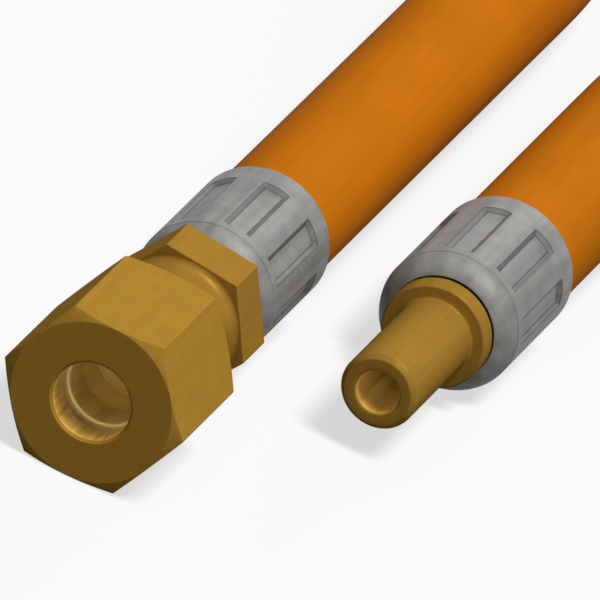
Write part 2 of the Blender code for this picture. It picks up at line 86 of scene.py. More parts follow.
# Union nut
NUT_LENGTH = NUT_HIGH.y - NUT_LOW.y
NUT_FLAT_RADIUS = (NUT_HIGH.z - NUT_LOW.z) / 2.0
NUT_FLAT_ANGLE = 90.0               # degrees from +X towards +Z
NUT_CORNER_ROUNDING = 0.22 * MM
NUT_FLAT_STEPS = 24
NUT_CORNER_STEPS = 6
NUT_FACE_RADIUS = 8.42 * MM         # flat round face inside the chamfer
NUT_BORE_RADIUS = 4.05 * MM
NUT_BORE_CHAMFER = 0.3 * MM
NUT_WALL_AT_MOUTH = 2.95 * MM
HEX_CHAMFER_ANGLE = math.radians(30.0)

# Thread M14 x 1.5, right-handed
THREAD_PITCH = 1.5 * MM
THREAD_CREST = 0.094 * MM           # half the width of a crest
THREAD_SLOPE = math.sqrt(3.0)       # of a flank, with 60 degrees between two flanks
BODY_THREAD_RADII = (6.08 * MM, 7.0 * MM)
NUT_THREAD_RADII = (6.2 * MM, 7.1 * MM)
THREAD_PLAY = 0.12 * MM
THREAD_LEAD = 0.4 * MM
THREAD_STEP = 0.09 * MM             # between samples along the thread

# Cutting ring
RING_BODY_GAP = 0.3 * MM            # between its shoulder and the body's nose
RING_FRONT_RADIUS = 5.0 * MM
RING_NOSE_PLAY = 0.25 * MM          # radial, in the mouth of the body's cone
RING_NOSE_ROUNDING = 0.03 * MM
RING_BORE_CHAMFER = 0.2 * MM
PIPE_RADIUS = 4.0 * MM

# Connector body
CONE_MOUTH_RADIUS = 5.0 * MM
CONE_HALF_ANGLE = math.radians(12.0)
SOCKET_DEPTH = 5.55 * MM
SOCKET_STOP_CHAMFER = 0.34 * MM
THREAD_LENGTH = 8.8 * MM
NECK_LENGTH = 7.3 * MM
NECK_RADIUS = 6.05 * MM
NECK_FILLET_RISE = 0.9 * MM
NECK_FILLET_LENGTH = 1.3 * MM
NECK_FILLET_STEPS = 12
BODY_HEX_FLAT_RADIUS = 7.0 * MM
BODY_HEX_LENGTH = 5.7 * MM
BODY_HEX_ANGLE = 83.6               # degrees from +X towards +Z
BODY_HEX_ROUNDING = 0.14 * MM
BODY_HEX_FLAT_STEPS = 26
BODY_HEX_CORNER_STEPS = 5

# Pipe spigot
SPIGOT_LENGTH = 15.32 * MM
SPIGOT_CHAMFER = 0.5 * MM
SPIGOT_FILLET = 0.31 * MM
BORE_CHAMFER = 0.18 * MM
COLLAR_LENGTH = 2.02 * MM
COLLAR_CHAMFER = 0.22 * MM
COLLAR_RADIUS = 5.52 * MM
COLLAR_ROUNDING = 0.06 * MM

# Barbed tails
GAS_BORE_RADIUS = 2.25 * MM
GAS_BORE_ROUNDING = 0.08 * MM       # where it leaves the pipe socket
TAIL_TIP_RADIUS = 2.8 * MM
BARB_ROOT_RADIUS = 3.05 * MM
BARB_RADIUS = 3.45 * MM
BARB_DROP = 0.3 * MM
BARB_ROUNDING = 0.05 * MM
BARBS = 4
TAIL_ROOT_LENGTH = 1.0 * MM
TAIL_INSET = 0.96 * MM              # the tail ends this far inside the ferrule
GROOVE_RADIUS = 5.22 * MM
SHOULDER_RADIUS = 5.8 * MM
SHOULDER_FRONT = 1.7 * MM           # behind the ferrule's nose
SHOULDER_REAR = 2.9 * MM

# Crimped ferrules
FERRULE_LENGTH = NUT_FERRULE_HIGH.y - NUT_FERRULE_LOW.y
FERRULE_RADIUS = 7.355 * MM
FERRULE_NOSE_LENGTH = 2.26 * MM
FERRULE_NOSE_ROUNDING = 3.2 * MM
FERRULE_NOSE_STEPS = 12             # pieces of the nose's arc
FERRULE_LIP = 1.4 * MM
FERRULE_LIP_ROUNDING = 0.2 * MM
FERRULE_BORE_RADIUS = 6.2 * MM
FERRULE_MOUTH_ROUNDING = 0.35 * MM  # inside its rear edge, over the hose
FERRULE_REAR_ROUNDING = 0.15 * MM
POCKETS = 8
POCKET_FLOOR_RADIUS = 6.9 * MM
POCKET_FLOOR_HALF_WIDTH = 1.02 * MM
POCKET_EDGE_ANGLE = math.radians(11.3)
POCKET_FRONT_MARGIN = 3.3 * MM
POCKET_REAR_MARGIN = 3.06 * MM
POCKET_SOFTNESS = 0.05 * MM         # of the pressed edges
POCKET_SOFT_ANGLE = math.radians(0.45)
POCKET_SOFT_REACH = 2.2             # soft angles from an edge to the next plain sample
# samples across half a pocket: on its floor, on its wall and on the land beside it
POCKET_MIDDLE_SHARES = (0.0, 0.33, 0.66)
POCKET_WALL_SHARES = (0.4, 0.7)
POCKET_LAND_SHARES = (0.35, 0.7, 1.0)
# samples along half a pocket: on its floor, and on and around its end wall
POCKET_FLOOR_SHARES = (0.0, 0.4, 0.75)
POCKET_END_WALL_SHARES = (
    -0.5, -0.25, -0.1, 0.0, 0.1, 0.25, 0.4, 0.55, 0.7, 0.8, 0.88, 0.94, 1.0, 1.08, 1.2, 1.5,
)
PAINTED_LINE_WIDTH = 0.11 * MM               # of the darker lines along a pocket's rim and foot, painted shade at the foot
POCKET_PAINTED_DARKENING = 0.68                # of those lines, the full strength of the pockets' painted shade
WALL_SHADE = 0.42                   # the walls' share of it
FLOOR_SHADE = 0.02                  # the floors' share of it
NOSE_STEP = 0.1 * MM                # between the nose and the skirt
NOSE_STEP_ROUNDING = 0.02 * MM
NUT_END_POCKET_ANGLE = 84.2         # degrees from +X towards +Z
SPIGOT_END_POCKET_ANGLE = 58.55

# Hose
HOSE_RADIUS = 6.65 * MM
HOSE_BORE_RADIUS = 3.15 * MM
HOSE_GRIP_RADIUS = 5.9 * MM         # inside the ferrules
HOSE_TAIL_BORE_RADIUS = 3.75 * MM   # over the barbed tails
HOSE_START = 3.2 * MM               # behind the ferrule's nose
HOSE_STEP = 2.0 * MM
HOSE_SIDES = 72
HOSE_BULGE = 1.1 * MM               # length over which it swells behind the ferrule
HOSE_SWELL_MARGIN = 0.1 * MM        # before the ferrule's edge and the tail's tip
HOSE_FIRST_SAMPLE = 0.2 * MM
HOSE_DENSE_SAMPLES = 15             # from the tail's tip to past the swelling
HOSE_DENSE_BULGES = 1.5             # their reach behind the ferrule, in bulges

# The hose's route: a straight run behind each ferrule, and a loop between the two runs
NUT_RUN_END_Y = 82.0 * MM
SPIGOT_RUN_END_Y = 66.0 * MM
RUN_POINTS = 5
# X, Y and the height of the hose's underside over the floor, in millimetres
LOOP_MM = (
    (-9.8, 100.9, 1.68),
    (-15.8, 118.7, 1.26),
    (-26.4, 134.3, 0.74),
    (-37.2, 149.8, 0.28),
    (-43.7, 167.5, 0.04),
    (-44.0, 186.3, 0.01),
    (-38.2, 204.2, 0.01),
    (-26.8, 219.2, 0.01),
    (-11.2, 229.7, 0.01),
    (7.0, 234.6, 0.01),
    (25.7, 233.2, 0.01),
    (43.0, 225.9, 0.01),
    (57.0, 213.3, 0.01),
    (66.1, 196.8, 0.01),
    (69.4, 178.3, 0.01),
    (66.4, 159.7, 0.01),
    (57.6, 143.1, 0.02),
    (44.1, 129.8, 0.06),
    (29.6, 117.7, 0.22),
    (18.2, 102.7, 0.44),
    (12.3, 84.9, 0.62),
)

# Camera
CAMERA_AZIMUTH = math.radians(12.56)
CAMERA_ELEVATION = math.radians(27.7)
CAMERA_ROLL = math.radians(19.6)
CAMERA_LENS = 1600.0                # mm, so that the view has almost no perspective
CAMERA_SENSOR = 36.0                # mm
CAMERA_REACH = 100.0
VIEW_WIDTH = 58.77 * MM             # of the frame, at the middle of the fittings
VIEW_RIGHT = 20.31 * MM             # of the frame's centre, from the nut's mouth
VIEW_UP = 9.96 * MM
VIEW_DEPTH = 25.0 * MM              # of the plane that has the width, behind the mouth

# Light
LIGHT_DISTANCE = 3.0
LIGHT_SIZE = 0.9
KEY_DIRECTION = Vector((0.29, -0.14, 0.87))
KEY_LEVEL = 0.89                    # brightness of a white surface that faces the light
FILL_DIRECTION = Vector((0.0, 0.97, 0.24))
FILL_LEVEL = 0.2
AMBIENT_LEVEL = 0.09
FLOOR_COLOR = 0.96                  # what the camera and the metal see
FLOOR_GLOW = 0.65                   # share of plain white in it, which softens the shadow
FLOOR_BOUNCE = 0.11                 # what lights the object from below
FLOOR_SIZE = 24.0

# Colours, linear
BRASS = (0.453, 0.246, 0.035)
BODY_BRASS = (0.397, 0.217, 0.034)
BRASS_EDGE_TINT = (0.25, 0.16, 0.05, 1.0)
BRASS_METALLIC = 0.1
MOUTH_BORE_PAINTED_LIGHT = (0.80, 0.55, 0.13)    # painted light: brighter brass in a bore, at its mouth
DEEP_BORE_PAINTED_LIGHT = (0.99, 0.84, 0.38)     # deep in a bore, painted light that stands in for the light that comes in by reflection
BORE_BLEND = (0.5, 5.0)             # mm behind the mouth, from the one to the other
PLATED_STEEL = (0.285, 0.28, 0.27)
ORANGE_RUBBER = (0.60, 0.176, 0.006)

# Gloss
BRASS_ROUGHNESS = (0.32, 0.46)
NUT_BORE_ROUGHNESS = 0.7
BODY_BORE_ROUGHNESS = 0.85
SPIGOT_BORE_ROUGHNESS = 0.75
BORE_ROUGHNESS_SHARE = 0.15         # by which it varies
PLATING_METALLIC = 0.25
PLATING_SPECULAR = 0.1
PLATING_ROUGHNESS = (0.50, 0.64)
RUBBER_SPECULAR = 0.004
RUBBER_ROUGHNESS = (0.5, 0.66)

# Noise patterns: scale per millimetre, detail and roughness
TURNED_RINGS = (3.2, 4.0, 0.6)
FINE_RINGS = (14.0, 2.0, 0.6)
BRASS_STREAKS = (1.6, 5.0, 0.62)
BRASS_CLOUDS = (0.35, 3.0, 0.55)
PLATING_STREAKS = (0.55, 3.0, 0.55)
PLATING_CLOUDS = (0.5, 4.0, 0.6)
PLATING_GRAIN = (9.0, 3.0, 0.6)
RUBBER_LINES = (1.5, 4.0, 0.6)
RUBBER_CLOUDS = (0.12, 3.0, 0.5)
RUBBER_GRAIN = (6.0, 4.0, 0.7)

# Noise places: a small share of the length along makes long streaks, and a shift moves them
BRASS_STRETCH = 0.035
PLATING_STRETCH = 0.06
RUBBER_STRETCH = 0.04
FINE_RING_SHIFT = 0.5
RUBBER_CLOUD_SHIFT = 3.0
# the ferrules' shifts set where the lighter streaks fall, as painted reflection on one side
NUT_END_SHEEN_SHIFT = 7.0
SPIGOT_END_SHEEN_SHIFT = 43.0

# How a noise changes the brightness, which is 1 where it stays
NOISE_NARROW = (0.3, 0.7)           # the range of its values that counts
NOISE_MEDIUM = (0.25, 0.75)
NOISE_WIDE = (0.2, 0.8)
# lengthwise streaks in the colour: grain on flats, and painted reflection streaks on round faces
BRASS_STREAK_AND_SHEEN_TONE = 0.045
SPIGOT_STREAK_AND_SHEEN_TONE = 0.08
BRASS_CLOUD_TONE = 0.03
BRASS_RING_TONE = 0.015
PLATING_STREAK_AND_SHEEN_TONES = (0.84, 1.14)
PLATING_CLOUD_TONES = (-0.08, 0.09)
RUBBER_LINE_TONE = 0.03
RUBBER_CLOUD_TONE = 0.04

# Bumps: strength and height
BRASS_BUMP = (0.25, 0.01 * MM)
PLATING_BUMP = (0.2, 0.012 * MM)
RUBBER_BUMP = (0.25, 0.02 * MM)

# Where a piece of brass has its flats and its bore
END_FACE = (0.2, 0.4)               # lengthwise share of a normal, from a side to an end face
SURFACE_MARGIN = 0.02 * MM          # from a surface to the radius that tells it apart
PAST_THE_PIECE = 20.0 * MM          # a radius that no fitting reaches


def smooth_step(value, start, end):
    """0 before start, 1 after end, and smooth in between."""
    share = np.clip((value - start) / (end - start), 0.0, 1.0)
    return share * share * (3.0 - 2.0 * share)


def rounded(corners, steps=ARC_STEPS):
    """The points of a closed profile, with an arc of steps pieces at each rounded corner."""
    points = []
    for index, (radius, along, rounding) in enumerate(corners):
        here = np.array((radius, along))
        if rounding == 0.0:
            points.append(here)
            continue
        before = np.array(corners[index - 1][:2]) - here
        after = np.array(corners[(index + 1) % len(corners)][:2]) - here
        room = ARC_ROOM * min(np.linalg.norm(before), np.linalg.norm(after))
        before /= np.linalg.norm(before)
        after /= np.linalg.norm(after)
        half = math.acos(float(np.clip(before @ after, -1.0, 1.0))) / 2.0
        reach = min(rounding / math.tan(half), room)
        bisector = (before + after) / np.linalg.norm(before + after)
        centre = here + bisector * reach / math.cos(half)
        first = here + before * reach - centre
        last = here + after * reach - centre
        start = math.atan2(first[1], first[0])
        sweep = math.remainder(math.atan2(last[1], last[0]) - start, math.tau)
        size = np.linalg.norm(first)
        for step in range(steps + 1):
            angle = start + sweep * step / steps
            points.append(centre + size * np.array((math.cos(angle), math.sin(angle))))
    return points


def hexagon_stations(flat_radius, rounding, flat_angle, flat_steps, corner_steps):
    """Angles and radii round a hexagon with rounded corners."""
    sector = math.tau / HEX_SIDES
    corner_distance = (flat_radius - rounding) / math.cos(sector / 2.0)
    half = math.atan2(corner_distance * math.sin(sector / 2.0), flat_radius)
    stations = []
    for side in range(HEX_SIDES):
        middle = math.radians(flat_angle) + side * sector
        for step in range(flat_steps + 1):
            turn = half * (2.0 * step / flat_steps - 1.0)
            stations.append((middle + turn, flat_radius / math.cos(turn)))
        corner = middle + sector / 2.0
        for step in range(1, corner_steps):
            normal = middle + sector * step / corner_steps
            x = corner_distance * math.cos(corner) + rounding * math.cos(normal)
            z = corner_distance * math.sin(corner) + rounding * math.sin(normal)
            stations.append((corner + math.remainder(math.atan2(z, x) - corner, math.tau),
                             math.hypot(x, z)))
    return stations


def thread_radius(radii, play, angle, along):
    """Radius of the thread's surface, at an angle round and a distance along the axis."""
    low, high = radii
    phase = (along / THREAD_PITCH + angle / math.tau) % 1.0
    off_crest = np.abs(phase - 0.5) * THREAD_PITCH
    return np.clip(
        BODY_THREAD_RADII[1] + play - (off_crest - THREAD_CREST) * THREAD_SLOPE, low, high
    )


def ring_solid(name, end, angles, sections):
    """A closed ring made of one profile at each angle round the fitting's axis."""
    sections = np.array(sections)
    count, size = sections.shape[:2]
    turn = np.array(angles)[:, None]
    radius = sections[:, :, 0]
    places = np.stack(
        (
            end.x + radius * np.cos(turn),
            end.y + sections[:, :, 1],
            end.z + radius * np.sin(turn),
        ),
        axis=-1,
    )
    station, point = np.meshgrid(np.arange(count), np.arange(size), indexing="ij")
    next_station = (station + 1) % count
    next_point = (point + 1) % size
    faces = np.stack(
        (
            station * size + point,
            next_station * size + point,
            next_station * size + next_point,
            station * size + next_point,
        ),
        axis=-1,
    )
    return new_mesh_object(name, places.reshape(-1, 3), faces.reshape(-1, 4))


def new_mesh_object(name, places, faces):
    """A smooth mesh object whose flat faces stay flat beside their rounded edges."""
    mesh = bpy.data.meshes.new(name)
    mesh.from_pydata(places.tolist(), [], faces.tolist())
    mesh.shade_smooth()
    item = bpy.data.objects.new(name, mesh)
    bpy.context.scene.collection.objects.link(item)
    item.modifiers.new("flat_faces", "WEIGHTED_NORMAL")
    return item


def turned_piece(name, end, corners):
    """A turned piece: the same profile all round."""
    angles = [math.tau * side / TURNED_SIDES for side in range(TURNED_SIDES)]
    return ring_solid(name, end, angles, [rounded(corners)] * TURNED_SIDES)


def dress(item, material, body, slot, *nodes):
    """Give the piece its material and its body, and hide the nodes that it replaces; slot is not
    used.
    """
    item.data.materials.append(material)
    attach(item, body)
    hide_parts(*nodes)
    return item


# Fittings


def union_nut(material):
    """The union nut: chamfered hexagon, bore, cone and thread."""
    stations = hexagon_stations(
        NUT_FLAT_RADIUS, NUT_CORNER_ROUNDING, NUT_FLAT_ANGLE, NUT_FLAT_STEPS, NUT_CORNER_STEPS
    )
    thread_places = np.arange(NUT_WALL_AT_MOUTH + THREAD_STEP, NUT_LENGTH, THREAD_STEP)
    sections = []
    for angle, hex_radius in stations:
        chamfer = (hex_radius - NUT_FACE_RADIUS) * math.tan(HEX_CHAMFER_ANGLE)
        mouth_radius = NUT_BORE_RADIUS + NUT_BORE_CHAMFER
        rear_radius = NUT_THREAD_RADII[1] + THREAD_LEAD
        corners = [
            (NUT_FACE_RADIUS, NUT_LENGTH, EDGE_ROUNDING),
            (hex_radius, NUT_LENGTH - chamfer, EDGE_ROUNDING),
            (hex_radius, chamfer, EDGE_ROUNDING),
            (NUT_FACE_RADIUS, 0.0, EDGE_ROUNDING),
            (mouth_radius, 0.0, BORE_EDGE_ROUNDING),
            (NUT_BORE_RADIUS, NUT_BORE_CHAMFER, BORE_EDGE_ROUNDING),
            (NUT_BORE_RADIUS, NUT_WALL_AT_MOUTH, 0.0),
            (rear_radius, NUT_LENGTH, 0.0),
        ]
        profile = rounded(corners)
        cone = NUT_BORE_RADIUS + thread_places - NUT_WALL_AT_MOUTH
        thread = thread_radius(NUT_THREAD_RADII, THREAD_PLAY, angle, thread_places)
        lead = rear_radius - (NUT_LENGTH - thread_places)
        inside = np.maximum(np.minimum(cone, thread), lead)
        profile[-1:-1] = list(np.stack((inside, thread_places), axis=-1))
        sections.append(profile)
    nut = ring_solid("nut_turned", NUT_END, [angle for angle, _ in stations], sections)
    return dress(nut, material, "nut", "brass_nut", "union_nut")


def cutting_ring(material):
    """The cutting ring between the nut's cone and the body's cone."""
    mouth = RING_LOW.y - NUT_END.y
    nose = RING_HIGH.y - NUT_END.y
    shoulder_radius = (RING_HIGH.z - RING_LOW.z) / 2.0
    shoulder_end = BODY_LOW.y - NUT_END.y - RING_BODY_GAP
    nose_root = CONE_MOUTH_RADIUS - RING_NOSE_PLAY
    nose_tip = nose_root - (nose - shoulder_end) * math.tan(CONE_HALF_ANGLE)
    slope_end = mouth + shoulder_radius - RING_FRONT_RADIUS
    corners = [
        (nose_tip, nose, RING_NOSE_ROUNDING),
        (nose_root, shoulder_end, 0.0),
        (shoulder_radius, shoulder_end, EDGE_ROUNDING),
        (shoulder_radius, slope_end, EDGE_ROUNDING),
        (RING_FRONT_RADIUS, mouth, EDGE_ROUNDING),
        (PIPE_RADIUS + RING_BORE_CHAMFER, mouth, BORE_EDGE_ROUNDING),
        (PIPE_RADIUS, mouth + RING_BORE_CHAMFER, BORE_EDGE_ROUNDING),
        (PIPE_RADIUS, nose, 0.0),
    ]
    ring = turned_piece("ring_turned", NUT_END, corners)
    return dress(ring, material, "ring", "brass_ring", "cutting_ring")


def tail_corners(nose, end):
    """The outside of a barbed tail, from its tip to its groove in the ferrule's nose."""
    corners = []
    pitch = (end - nose - SHOULDER_REAR - TAIL_ROOT_LENGTH) / BARBS
    low_radius = TAIL_TIP_RADIUS
    for barb in range(BARBS):
        tip = end - barb * pitch
        corners.append((low_radius, tip, 0.0))
        corners.append((BARB_RADIUS, tip - pitch + BARB_DROP, BARB_ROUNDING))
        low_radius = BARB_ROOT_RADIUS
    corners.append((BARB_ROOT_RADIUS, end - BARBS * pitch, 0.0))
    corners.append((BARB_ROOT_RADIUS, nose + SHOULDER_REAR, EDGE_ROUNDING))
    corners.append((SHOULDER_RADIUS, nose + SHOULDER_REAR, EDGE_ROUNDING))
    corners.append((SHOULDER_RADIUS, nose + SHOULDER_FRONT, EDGE_ROUNDING))
    corners.append((GROOVE_RADIUS, nose + SHOULDER_FRONT, 0.0))
    return corners


def connector_body(material):
    """The connector body: thread, neck, hexagon and barbed tail."""
    stations = hexagon_stations(
        BODY_HEX_FLAT_RADIUS, BODY_HEX_ROUNDING, BODY_HEX_ANGLE,
        BODY_HEX_FLAT_STEPS, BODY_HEX_CORNER_STEPS,
    )
    nose = BODY_LOW.y - NUT_END.y
    tail_end = BODY_HIGH.y - NUT_END.y
    ferrule_nose = NUT_FERRULE_LOW.y - NUT_END.y
    thread_end = nose + THREAD_LENGTH
    hex_start = thread_end + NECK_LENGTH
    hex_end = hex_start + BODY_HEX_LENGTH
    socket_end = nose + SOCKET_DEPTH
    stop_end = socket_end + SOCKET_STOP_CHAMFER
    cone_end = nose + (CONE_MOUTH_RADIUS - PIPE_RADIUS) / math.tan(CONE_HALF_ANGLE)
    nose_radius = BODY_THREAD_RADII[0]
    thread_places = np.arange(thread_end, nose + THREAD_STEP / 2.0, -THREAD_STEP)
    fillet = []
    for turn in np.linspace(0.0, math.pi / 2.0, NECK_FILLET_STEPS + 1):
        rise = NECK_FILLET_RISE * (1.0 - math.sin(turn))
        setback = NECK_FILLET_LENGTH * (1.0 - math.cos(turn))
        fillet.append((NECK_RADIUS + rise, hex_start - setback, 0.0))
    sections = []
    for angle, hex_radius in stations:
        outside = tail_corners(ferrule_nose, tail_end) + [
            (GROOVE_RADIUS, hex_end, 0.0),
            (hex_radius, hex_end, EDGE_ROUNDING),
            (hex_radius, hex_start, EDGE_ROUNDING),
            *fillet,
            (NECK_RADIUS, thread_end + THREAD_STEP, 0.0),
        ]
        inside = [
            (nose_radius, nose, 0.0),
            (CONE_MOUTH_RADIUS, nose, BORE_EDGE_ROUNDING),
            (PIPE_RADIUS, cone_end, 0.0),
            (PIPE_RADIUS, socket_end, FINE_ROUNDING),
            (PIPE_RADIUS - SOCKET_STOP_CHAMFER, stop_end, FINE_ROUNDING),
            (GAS_BORE_RADIUS, stop_end, GAS_BORE_ROUNDING),
            (GAS_BORE_RADIUS, tail_end, 0.0),
        ]
        profile = rounded(outside + inside, FINE_ARC_STEPS)
        thread = thread_radius(BODY_THREAD_RADII, 0.0, angle, thread_places)
        lead = nose_radius + thread_places - nose
        run_out = NECK_RADIUS + thread_end - thread_places
        ridge = np.minimum(np.minimum(thread, lead), run_out)
        start = next(
            index for index, point in enumerate(profile)
            if max(abs(point[0] - nose_radius), abs(point[1] - nose)) < SAME_PLACE
        )
        profile[start:start] = list(np.stack((ridge, thread_places), axis=-1))
        sections.append(profile)
    body = ring_solid("body_turned", NUT_END, [angle for angle, _ in stations], sections)
    return dress(body, material, "hose_assembly", "brass_body", "connector_body")


def pipe_spigot(material):
    """The pipe spigot: chamfered stub, collar and barbed tail."""
    ferrule_nose = SPIGOT_FERRULE_LOW.y - SPIGOT_END.y
    tail_end = SPIGOT_HIGH.y - SPIGOT_END.y
    collar_end = SPIGOT_LENGTH + COLLAR_LENGTH
    corners = tail_corners(ferrule_nose, tail_end) + [
        (GROOVE_RADIUS, collar_end, 0.0),
        (COLLAR_RADIUS, collar_end, FINE_ROUNDING),
        (COLLAR_RADIUS, SPIGOT_LENGTH + COLLAR_CHAMFER, COLLAR_ROUNDING),
        (COLLAR_RADIUS - COLLAR_CHAMFER, SPIGOT_LENGTH, COLLAR_ROUNDING),
        (PIPE_RADIUS, SPIGOT_LENGTH, SPIGOT_FILLET),
        (PIPE_RADIUS, SPIGOT_CHAMFER, EDGE_ROUNDING),
        (PIPE_RADIUS - SPIGOT_CHAMFER, 0.0, EDGE_ROUNDING),
        (GAS_BORE_RADIUS + BORE_CHAMFER, 0.0, FINE_ROUNDING),
        (GAS_BORE_RADIUS, BORE_CHAMFER, FINE_ROUNDING),
        (GAS_BORE_RADIUS, tail_end, 0.0),
    ]
    spigot = turned_piece("spigot_turned", SPIGOT_END, corners)
    return dress(spigot, material, "hose_assembly", "brass_body", "pipe_spigot")


# Ferrules


def pocket_angles():
    """Angles across half a pocket and half the land beside it, dense at the edges."""
    floor = math.atan2(POCKET_FLOOR_HALF_WIDTH, POCKET_FLOOR_RADIUS)
    edge = POCKET_EDGE_ANGLE
    land = math.pi / POCKETS
    soft = POCKET_SOFT_ANGLE
    far = POCKET_SOFT_REACH * soft
    return [
        *(floor * share for share in POCKET_MIDDLE_SHARES),
        floor - far, floor - soft, floor, floor + soft,
        *(floor * (1.0 - share) + edge * share for share in POCKET_WALL_SHARES),
        edge - soft, edge, edge + soft, edge + far,
        *(edge * (1.0 - share) + land * share for share in POCKET_LAND_SHARES),
    ]


def pocket_places(half_length):
    """Distances along half a pocket from its middle, dense at its end wall."""
    depth = FERRULE_RADIUS - POCKET_FLOOR_RADIUS
    inner = half_length - depth
    on_floor = [inner * share for share in POCKET_FLOOR_SHARES]
    return on_floor + [inner + depth * share for share in POCKET_END_WALL_SHARES]


def soft_larger(first, second):
    """The larger of two lengths, with a rounded inside corner where they cross."""
    gap = np.maximum(POCKET_SOFTNESS - np.abs(first - second), 0.0)
    return np.maximum(first, second) + gap * gap / (4.0 * POCKET_SOFTNESS)


def soft_smaller(first, second):
    """The smaller of two lengths, with a rounded edge where they cross."""
    return -soft_larger(-first, -second)


def pocket_painted_shade(sides, floor):
    """Painted shade and dark lines of the pockets: 0 on the land, and 1 along a pocket's rim and
    foot.
    """
    rim = 1.0 - smooth_step(np.abs(sides - FERRULE_RADIUS), 0.0, PAINTED_LINE_WIDTH)
    foot = 1.0 - smooth_step(np.abs(sides - floor), 0.0, PAINTED_LINE_WIDTH)
    in_pocket = smooth_step(FERRULE_RADIUS - sides, 0.0, POCKET_SOFTNESS)
    on_wall = in_pocket * smooth_step(sides - floor, 0.0, POCKET_SOFTNESS)
    inside = in_pocket * FLOOR_SHADE + on_wall * (WALL_SHADE - FLOOR_SHADE)
    return np.maximum(inside, np.maximum(rim, foot))


def ferrule(name, node, end, low, pocket_angle, material):
    """A crimped ferrule: rounded nose, lip, skirt and eight pressed pockets."""
    nose = low.y - end.y
    rear = nose + FERRULE_LENGTH
    half = pocket_angles()
    turns = [-turn for turn in half[:0:-1]] + half[:-1]
    middle = nose + (POCKET_FRONT_MARGIN + FERRULE_LENGTH - POCKET_REAR_MARGIN) / 2.0
    half_length = (FERRULE_LENGTH - POCKET_FRONT_MARGIN - POCKET_REAR_MARGIN) / 2.0
    half_places = pocket_places(half_length)
    offsets = np.array(half_places[::-1] + [-place for place in half_places[1:]])
    floor_length = half_length - (FERRULE_RADIUS - POCKET_FLOOR_RADIUS)
    edge = np.array((math.cos(POCKET_EDGE_ANGLE), math.sin(POCKET_EDGE_ANGLE))) * FERRULE_RADIUS
    flare = (edge[1] - POCKET_FLOOR_HALF_WIDTH) / (edge[0] - POCKET_FLOOR_RADIUS)
    wall_foot = flare * POCKET_FLOOR_RADIUS - POCKET_FLOOR_HALF_WIDTH
    profile = rounded(ferrule_corners(nose, rear), FINE_ARC_STEPS)
    skirt_end = 1 + max(
        index for index, point in enumerate(profile)
        if point[0] > FERRULE_RADIUS - SAME_PLACE and point[1] > middle
    )
    angles = []
    sections = []
    shades = []
    for pocket in range(POCKETS):
        for turn in turns:
            floor = POCKET_FLOOR_RADIUS / math.cos(turn)
            wall = wall_foot / (flare * math.cos(turn) - abs(math.sin(turn)))
            end_wall = (POCKET_FLOOR_RADIUS + np.abs(offsets) - floor_length) / math.cos(turn)
            sides = soft_larger(wall, end_wall)
            pressed = soft_larger(floor, sides)
            radius = soft_smaller(np.full_like(pressed, FERRULE_RADIUS), pressed)
            skirt = list(np.stack((radius, middle + offsets), axis=-1))
            angles.append(math.radians(pocket_angle) + pocket * math.tau / POCKETS + turn)
            sections.append(profile[:skirt_end] + skirt + profile[skirt_end:])
            shade = np.zeros(len(sections[-1]))
            shade[skirt_end:skirt_end + len(radius)] = pocket_painted_shade(sides, floor)
            shades.append(shade)
    item = ring_solid(name, end, angles, sections)
    # the attribute holds the pockets' painted shade
    layer = item.data.attributes.new("pressed", "FLOAT", "POINT")
    layer.data.foreach_set("value", np.concatenate(shades))
    return dress(item, material, "hose_assembly", "plated_steel", node)


def ferrule_corners(nose, rear):
    """The ferrule's profile without its pockets, with the nose's arc as short pieces."""
    first = np.array((FERRULE_RADIUS, nose + FERRULE_NOSE_LENGTH))
    last = np.array((COLLAR_RADIUS, nose))
    half = (last - first) / 2.0
    inwards = np.array((half[1], -half[0])) / np.linalg.norm(half)
    centre = first + half + inwards * math.sqrt(FERRULE_NOSE_ROUNDING**2 - half @ half)
    start = math.atan2(first[1] - centre[1], first[0] - centre[0])
    sweep = math.remainder(
        math.atan2(last[1] - centre[1], last[0] - centre[0]) - start, math.tau
    )
    corners = [
        (FERRULE_RADIUS, rear, FERRULE_REAR_ROUNDING),
        (FERRULE_RADIUS, nose + FERRULE_NOSE_LENGTH, NOSE_STEP_ROUNDING),
        (FERRULE_RADIUS - NOSE_STEP, nose + FERRULE_NOSE_LENGTH, 0.0),
    ]
    for step in range(1, FERRULE_NOSE_STEPS):
        angle = start + sweep * step / FERRULE_NOSE_STEPS
        corners.append((
            centre[0] + FERRULE_NOSE_ROUNDING * math.cos(angle),
            centre[1] + FERRULE_NOSE_ROUNDING * math.sin(angle),
            0.0,
        ))
    corners += [
        (COLLAR_RADIUS, nose, EDGE_ROUNDING),
        (COLLAR_RADIUS, nose + FERRULE_LIP, EDGE_ROUNDING),
        (FERRULE_BORE_RADIUS, nose + FERRULE_LIP, FERRULE_LIP_ROUNDING),
        (FERRULE_BORE_RADIUS, rear, FERRULE_MOUTH_ROUNDING),
    ]
    return corners


# Hose


def smooth_curve(points, step):
    """Distances along, and points of, the cubic spline through the given points."""
    knots = np.array(points)
    spans = np.linalg.norm(np.diff(knots, axis=0), axis=1)
    along = np.concatenate(([0.0], np.cumsum(spans)))
    count = len(knots)
    matrix = np.eye(count)
    target = np.zeros_like(knots)
    for index in range(1, count - 1):
        before = spans[index - 1]
        after = spans[index]
        matrix[index, index - 1:index + 2] = (before, 2.0 * (before + after), after)
        slope_after = (knots[index + 1] - knots[index]) / after
        slope_before = (knots[index] - knots[index - 1]) / before
        target[index] = 6.0 * (slope_after - slope_before)
    bends = np.linalg.solve(matrix, target)
    samples = hose_samples(along[-1], step)
    result = []
    for sample in samples:
        index = min(int(np.searchsorted(along, sample, side="right")) - 1, count - 2)
        span = spans[index]
        late = (sample - along[index]) / span
        early = 1.0 - late
        point = early * knots[index] + late * knots[index + 1]
        result.append(point + span**2 / 6.0 * (
            (early**3 - early) * bends[index] + (late**3 - late) * bends[index + 1]
        ))
    return samples, np.array(result)


